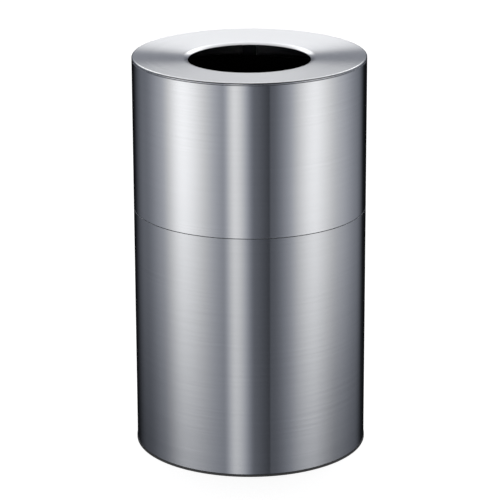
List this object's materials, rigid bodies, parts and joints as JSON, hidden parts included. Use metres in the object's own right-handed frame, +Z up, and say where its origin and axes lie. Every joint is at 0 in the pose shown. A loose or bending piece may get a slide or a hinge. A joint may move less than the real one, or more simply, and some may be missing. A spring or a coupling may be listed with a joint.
{
  "type": "litter bin",
  "caption": "Round open-top litter bin with a brushed-metal base, a lift-off dished hood and a lift-out plastic liner with drop handles.",
  "frame": {"origin": "on the floor under the middle of the bin", "axes": "+Z up along the bin's axis; the front is -Y; the butt seams of the shells are at the back, +Y; the liner's handles are at +X and -X"},
  "size_m": [0.5098, 0.5098, 0.876],
  "materials": {
    "lower_metal": "satin, brushed round the shell, clear coated",
    "hood_metal": "satin, brushed round the shell, clear coated",
    "top_metal": "satin, spun, with concentric brush lines",
    "mill_metal": "mill finish, dull",
    "galvanised_steel": "galvanised, spangled, dull",
    "trim_vinyl": "soft black vinyl",
    "black_rubber": "matt black",
    "liner_plastic": "black polyethylene, fine moulded grain",
    "plated_wire": "zinc plated",
    "grip_plastic": "black, ribbed",
    "rivet_metal": "satin"
  },
  "bodies": {
    "base": {"lower_shell": "lower_metal", "lower_seam_strip": "mill_metal", "base_pan": "galvanised_steel", "base_trim": "trim_vinyl", "locating_collar": "mill_metal", "hood_buffers": "black_rubber", "liner_pads": "black_rubber"},
    "hood": {"upper_shell": "hood_metal", "upper_seam_strip": "mill_metal", "dished_top": "top_metal", "hood_edge_ring": "mill_metal"},
    "liner": {"liner_bucket": "liner_plastic", "right_handle_bracket": "galvanised_steel", "left_handle_bracket": "galvanised_steel", "handle_rivets": "rivet_metal", "rivet_washers": "rivet_metal"},
    "right_handle": {"right_handle_wire": "plated_wire", "right_handle_grip": "grip_plastic"},
    "left_handle": {"left_handle_wire": "plated_wire", "left_handle_grip": "grip_plastic"}
  },
  "joints": [
    {"name": "hood_lift", "type": "slide", "parent": "base", "child": "hood", "axis": [0, 0, 1], "range_m": [0, 0.88]},
    {"name": "liner_lift", "type": "slide", "parent": "base", "child": "liner", "axis": [0, 0, 1], "range_m": [0, 0.56]},
    {"name": "right_handle_swing", "type": "hinge", "parent": "liner", "child": "right_handle", "pos_m": [0.214, 0, 0.785], "axis": [0, 1, 0], "range_deg": [0, 180]},
    {"name": "left_handle_swing", "type": "hinge", "parent": "liner", "child": "left_handle", "pos_m": [-0.214, 0, 0.785], "axis": [0, -1, 0], "range_deg": [0, 180]}
  ],
  "couplings": [
    {"joint": "liner_lift", "follows": "hood_lift", "ratio": 0.6363}
  ]
}
